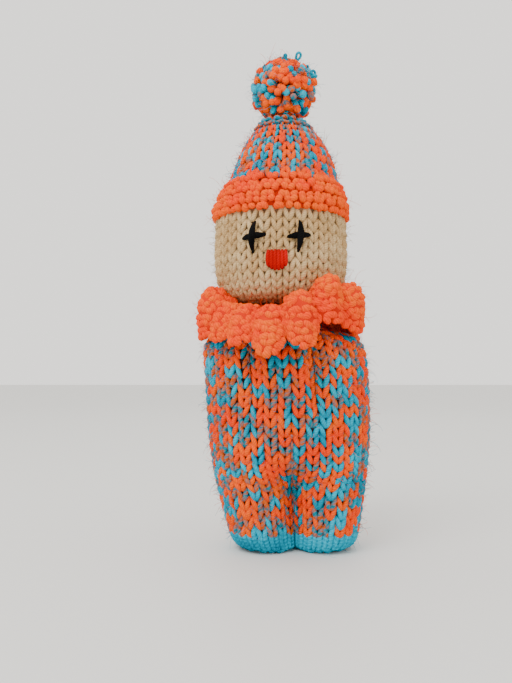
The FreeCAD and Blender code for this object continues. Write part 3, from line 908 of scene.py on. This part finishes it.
def inside(outline, x, y):
    """Whether a point is inside a closed outline."""
    ahead = np.roll(outline, -1, 0)
    crosses = (outline[:, 1] > y) != (ahead[:, 1] > y)
    rise = np.where(ahead[:, 1] == outline[:, 1], 1.0, ahead[:, 1] - outline[:, 1])
    at = outline[:, 0] + (y - outline[:, 1]) / rise * (ahead[:, 0] - outline[:, 0])
    return bool(np.count_nonzero(crosses & (x < at)) % 2)


def lumpy_ball(name, centre, radius, material, body):
    """A wad of filling."""
    bpy.ops.mesh.primitive_ico_sphere_add(subdivisions=4, radius=1.0)
    source = bpy.context.object
    verts = np.array([v.co[:] for v in source.data.vertices])
    faces = [list(p.vertices) for p in source.data.polygons]
    bpy.data.objects.remove(source)
    x, y, z = verts[:, :1], verts[:, 1:2], verts[:, 2:]
    lumps = 1 + 0.035 * np.sin(5 * x + 2 * y) * np.cos(6 * z + x)
    points = np.asarray(centre) + radius * lumps * verts
    uvs = np.zeros((3 * len(faces), 2))
    return mesh_object(name, points, faces, [material], body, uvs)


def neck_gathers():
    """The top of the body tube, drawn in to the neck in close folds."""
    folds = 24
    steps = np.linspace(0, 1, 9)
    angles = (2 * math.pi * np.arange(folds) / folds)[:, None] + 0 * steps
    reach = 15.5 - 8.7 * np.sin(0.5 * math.pi * steps)
    rise = 82.6 + 5.6 * steps**1.4
    paths = np.stack([AXIS_X + reach * np.cos(angles), reach * np.sin(angles), rise + 0 * angles], -1)
    outward = np.stack([np.cos(angles), np.sin(angles), 0.6 + 0 * angles], -1)
    colours = np.arange(folds) % 3
    tubes = Tubes(8)
    tubes.add(paths, 1.9 - 1.0 * steps, outward, colours)
    tubes.piece("neck_gathers", VARIEGATED, "torso", "variegated_knit")


def tie_neck_and_knot():
    neck_gathers()
    wad = lumpy_ball("neck_wad_filling", (AXIS_X, 0, 88.0), 4.3, filling, "neck_wad")
    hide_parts("neck_stuffing")
    angles = np.linspace(0, 2 * math.pi, 61)
    waver = 87.3 + 0.15 * np.sin(6 * angles)
    ring = np.stack([AXIS_X + 5.6 * np.cos(angles), 5.6 * np.sin(angles), waver], 1)
    tubes = Tubes(8)
    tubes.add(ring[None], np.full(61, 0.55), np.array([0, 0, 1.0]), 0)
    drawstring = tubes.piece("neck_drawstring_yarn", [orange], "neck_ring", "orange_knit")
    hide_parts("neck_drawstring")
    t = np.linspace(0, 2 * math.pi, 61)
    trefoil = np.stack([np.sin(t) + 2 * np.sin(2 * t), np.cos(t) - 2 * np.cos(2 * t), -np.sin(3 * t)], 1)
    trefoil = np.array([AXIS_X, 0, 164.9]) + 0.5 * trefoil
    tubes = Tubes(8)
    tubes.add(trefoil[None], np.full(61, 0.6), np.array([0.1, 0.2, 1.0]), 0)
    knot = tubes.piece("pompom_knot_yarn", [orange], "knot", "pompom_yarn")
    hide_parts("pompom_knot")


# ---- loose fibres --------------------------------------------------------------------------------

FIBRE_R = 0.07
BESIDE_THE_FACE = (0.60, 1.40)      # turns round the head that leave its front clear


def fuzz(name, count, roots, outward, materials, body, slot, seed):
    """Fine fibres that stand off the yarn. roots and outward are (count, 3)."""
    rng = np.random.default_rng(SEED + seed)
    steps = np.linspace(0, 1, 5)
    sideways = unit(np.cross(outward, rng.normal(0, 1, (count, 3))))
    length = rng.gamma(3.0, 0.55, (count, 1, 1))
    lean = rng.uniform(0.2, 1.4, (count, 1, 1))
    curl = unit(rng.normal(0, 1, (count, 3)))[:, None, :]
    s = steps[None, :, None]
    paths = (
        roots[:, None, :]
        + length * s * outward[:, None, :]
        + length * lean * s**1.5 * sideways[:, None, :]
        + 0.35 * length * np.sin(2.5 * s) * curl
    )
    paths[..., 2] = np.maximum(paths[..., 2], 0.2)
    tubes = Tubes(3)
    radii = FIBRE_R * (1 - 0.5 * steps)
    tubes.add(paths, radii, curl + np.zeros_like(paths), rng.integers(0, len(materials), count))
    tubes.piece(name, materials, body, slot)


def skin_fuzz(name, skin, low, high, count, materials, body, slot, seed, turns=(0.0, 1.0)):
    rng = np.random.default_rng(SEED + seed)
    roots, outward = skin.at(rng.uniform(*turns, count), rng.uniform(low, high, count), np.full(count, 0.6))
    fuzz(name, count, roots, outward, materials, body, slot, seed + 100)


def add_fuzz():
    skin_fuzz("foot_fuzz", body_skin, 1, FOOT_BAND_TOP, 150, [turquoise], "torso", "turquoise_knit", 50)
    skin_fuzz("body_fuzz", body_skin, FOOT_BAND_TOP, BODY_TOP - 2, 2800, VARIEGATED, "torso",
              "variegated_knit", 51)
    skin_fuzz("head_fuzz", head_skin, 93, BRIM_BOTTOM, 1000, [beige], "head", "beige_knit", 52,
              turns=BESIDE_THE_FACE)
    skin_fuzz("brim_fuzz", head_skin, BRIM_BOTTOM, BRIM_TOP, 450, [orange], "head", "orange_knit", 53)
    skin_fuzz("crown_fuzz", head_skin, BRIM_TOP, CROWN_TOP - 2, 1100, VARIEGATED, "head",
              "variegated_knit", 54)
    rng = np.random.default_rng(SEED + 55)
    points, normals = collar_frame(rng.uniform(0, 1, 500), rng.uniform(0.4, 1.0, 500))
    fuzz("collar_fuzz", 500, points + normals, normals, [orange], "torso", "orange_knit", 56)
    outward = unit(rng.normal(0, 1, (900, 3)))
    fuzz("pompom_fuzz", 900, POMPOM_CENTRE + outward * (POMPOM_REACH - 0.8), outward, VARIEGATED, "pompom",
         "pompom_yarn", 57)


# ---- the picture ---------------------------------------------------------------------------------

# Name, place, size and power of each soft lamp.
LAMPS = (
    ("key", (-0.30, -0.45, 0.75), 0.45, 5.0),
    ("fill", (0.7, -0.5, 0.30), 0.7, 0.4),
    ("back", (0.1, 0.7, 0.6), 0.6, 0.6),
)
SKY_COLOUR = (1.0, 0.975, 0.93, 1)
SKY_STRENGTH = 1.6
CAMERA_PLACE = (-0.0115, -0.278, 0.067)
CAMERA_UP_TILT = 2.24       # degrees above level
CAMERA_LENS = 38.3


def plain_material(name, colour, scale):
    """A pale, faintly uneven painted surface."""
    material = bpy.data.materials.new(name)
    material.use_nodes = True
    tree = material.node_tree
    shader = tree.nodes["Principled BSDF"]
    shader.inputs["Roughness"].default_value = 0.6
    noise = tree.nodes.new("ShaderNodeTexNoise")
    noise.inputs["Scale"].default_value = scale
    ramp = tree.nodes.new("ShaderNodeValToRGB")
    ramp.color_ramp.elements[0].color = srgb(*[c * 0.985 for c in colour])
    ramp.color_ramp.elements[1].color = srgb(*colour)
    tree.links.new(noise.outputs["Fac"], ramp.inputs["Fac"])
    tree.links.new(ramp.outputs["Color"], shader.inputs["Base Color"])
    return material


def make_stage():
    bpy.ops.mesh.primitive_plane_add(size=6.0, location=(0, 0, 0))
    floor = bpy.context.object
    floor.name = "floor"
    floor.data.materials.append(plain_material("floor_paint", (0.86, 0.86, 0.85), 3.0))
    world = bpy.data.worlds.new("studio")
    world.use_nodes = True
    world.node_tree.nodes["Background"].inputs["Color"].default_value = SKY_COLOUR
    world.node_tree.nodes["Background"].inputs["Strength"].default_value = SKY_STRENGTH
    bpy.context.scene.world = world
    for name, place, size, power in LAMPS:
        light = bpy.data.lights.new(name, "AREA")
        light.size = size
        light.energy = power
        lamp = bpy.data.objects.new(name, light)
        lamp.location = place
        lamp.rotation_euler = (Vector((0, 0, 0.1)) - Vector(place)).to_track_quat("-Z", "Y").to_euler()
        bpy.context.scene.collection.objects.link(lamp)


def make_camera():
    data = bpy.data.cameras.new("camera")
    data.lens = CAMERA_LENS
    data.sensor_width = 36.0
    data.clip_start = 0.01
    camera = bpy.data.objects.new("camera", data)
    camera.location = CAMERA_PLACE
    camera.rotation_euler = (math.radians(90 + CAMERA_UP_TILT), 0, 0)
    bpy.context.scene.collection.objects.link(camera)
    bpy.context.scene.camera = camera


knit_body()
knit_head()
embroider()
make_collar()
make_pompom()
sew_seams()
tie_neck_and_knot()
add_fuzz()
make_stage()
make_camera()
